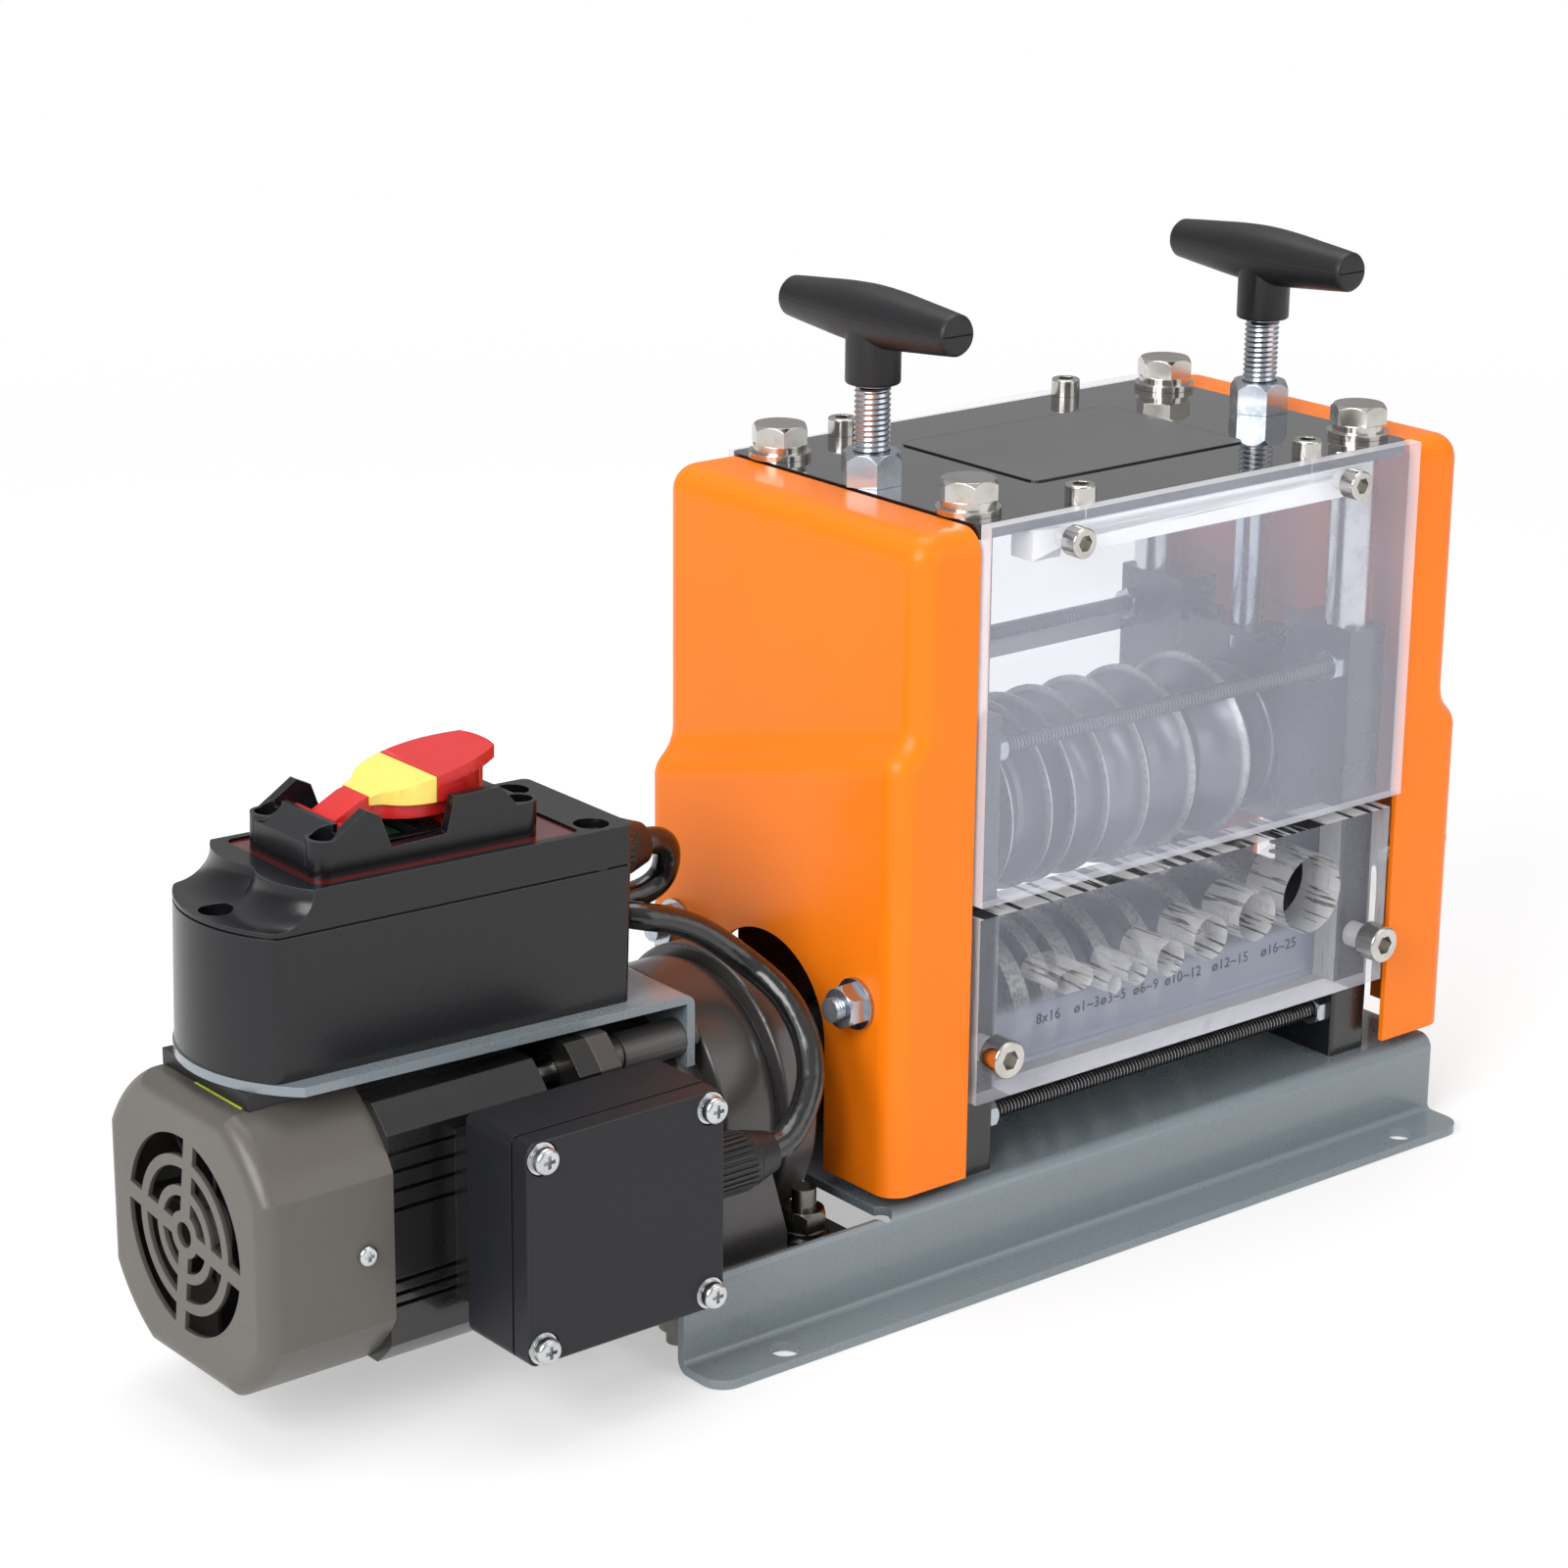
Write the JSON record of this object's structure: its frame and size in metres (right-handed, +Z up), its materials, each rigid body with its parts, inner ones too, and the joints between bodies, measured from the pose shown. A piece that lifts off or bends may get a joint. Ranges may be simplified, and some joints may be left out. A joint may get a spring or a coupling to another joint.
{
  "type": "wire stripping machine",
  "caption": "Bench machine that slits cable sheaths: a geared motor turns a grooved feed roller under disc cutters, with a clear guide block and two screw-down cross handles.",
  "frame": {"origin": "middle of the four floor mounting holes, at floor level", "axes": "+X from the motor end to the far end, +Y the way the cable travels, +Z up"},
  "size_m": [0.4928, 0.1695, 0.3172],
  "materials": {
    "grey_paint": "satin",
    "black_steel": "satin",
    "gloss_black": "gloss",
    "orange_paint": "gloss",
    "zinc": "satin",
    "bright_steel": "satin",
    "tool_steel": "satin",
    "aluminium": "satin",
    "clear": "gloss",
    "plate_blank": "satin",
    "motor_black": "satin",
    "case_grey": "satin",
    "core_steel": "matte",
    "black_plastic": "satin",
    "red_plastic": "satin",
    "yellow_red": "satin",
    "green_plastic": "satin",
    "red_rubber": "matte",
    "black_rubber": "matte"
  },
  "bodies": {
    "base": {"base_channel": "grey_paint", "motor_plate": "black_steel", "foot_bolts": "zinc", "side_frame_left": "black_steel", "side_frame_right": "black_steel", "socket_screws": "zinc", "spacer_columns": "bright_steel", "top_plate": "gloss_black", "rating_plate": "plate_blank", "top_bolts": "zinc", "press_nuts": "zinc", "panel_bars": "aluminium", "front_panel": "clear", "rear_panel": "clear", "guide_block": "clear", "tie_rods": "black_steel", "tie_rod_nuts": "zinc", "cover_left": "orange_paint", "cover_right": "orange_paint", "cover_studs": "zinc", "bearing_outers": "bright_steel", "lift_springs": "bright_steel", "motor_body": "motor_black", "stator": "core_steel", "fan_cover": "motor_black", "gearbox": "case_grey", "gearbox_bolts": "zinc", "terminal_box": "black_plastic", "terminal_lid": "black_plastic", "small_screws": "zinc", "glands": "black_rubber", "link_cable": "black_rubber", "switch_bracket": "grey_paint", "switch_pad": "black_rubber", "switch_box": "black_plastic", "switch_lid": "black_plastic", "switch_gasket": "red_rubber", "switch_frame": "black_plastic", "switch_module": "black_plastic"},
    "drive": {"feed_shaft": "bright_steel", "feed_roller": "bright_steel", "output_shaft": "bright_steel", "coupling_hubs": "core_steel", "coupling_spider": "red_rubber"},
    "motor_rotor": {"rotor": "core_steel", "fan": "black_plastic"},
    "lay_gear": {"lay_shaft": "core_steel"},
    "press": {"bearing_blocks": "black_steel", "keeper_plates": "black_steel", "cutter_bearing_outers": "bright_steel"},
    "cutter": {"cutter_shaft": "bright_steel", "cutter_discs": "tool_steel"},
    "screw_left": {"press_screw_left": "zinc", "grip_left": "black_plastic"},
    "screw_right": {"press_screw_right": "zinc", "grip_right": "black_plastic"},
    "flap": {"stop_flap": "yellow_red"},
    "start": {"start_button": "green_plastic"},
    "stop": {"stop_button": "red_plastic"}
  },
  "joints": [
    {"name": "press_slide", "type": "slide", "parent": "base", "child": "press", "axis": [0, 0, 1], "range_m": [-0.017, 0], "deforming": ["lift_springs"]},
    {"name": "cutter_spin", "type": "hinge", "parent": "press", "child": "cutter", "pos_m": [0, 0, 0.137], "axis": [1, 0, 0], "continuous": true},
    {"name": "left_screw_turn", "type": "hinge", "parent": "press", "child": "screw_left", "pos_m": [-0.046, 0, 0.2], "axis": [0, 0, 1], "range_deg": [-3510, 10]},
    {"name": "right_screw_turn", "type": "hinge", "parent": "press", "child": "screw_right", "pos_m": [0.13, 0, 0.2], "axis": [0, 0, 1], "range_deg": [-3510, 10]},
    {"name": "drive_spin", "type": "hinge", "parent": "base", "child": "drive", "pos_m": [0, 0, 0.062], "axis": [1, 0, 0], "continuous": true},
    {"name": "lay_spin", "type": "hinge", "parent": "base", "child": "lay_gear", "pos_m": [0, 0, 0.08225], "axis": [1, 0, 0], "continuous": true},
    {"name": "motor_spin", "type": "hinge", "parent": "base", "child": "motor_rotor", "pos_m": [0, 0, 0.062], "axis": [1, 0, 0], "continuous": true},
    {"name": "flap_hinge", "type": "hinge", "parent": "base", "child": "flap", "pos_m": [-0.25498, 0, 0.18032], "axis": [0, -1, 0], "range_deg": [0, 85]},
    {"name": "start_press", "type": "slide", "parent": "base", "child": "start", "axis": [-0.0297, 0, -0.9996], "range_m": [0, 0.0025], "stiffness_N_per_m": 500},
    {"name": "stop_press", "type": "slide", "parent": "base", "child": "stop", "axis": [-0.0297, 0, -0.9996], "range_m": [0, 0.0025], "stiffness_N_per_m": 500}
  ],
  "couplings": [
    {"joint": "left_screw_turn", "follows": "press_slide", "rad_per_m": 3590.4},
    {"joint": "right_screw_turn", "follows": "press_slide", "rad_per_m": 3590.4},
    {"joint": "lay_spin", "follows": "drive_spin", "ratio": -3.5},
    {"joint": "motor_spin", "follows": "drive_spin", "ratio": 12.25}
  ]
}
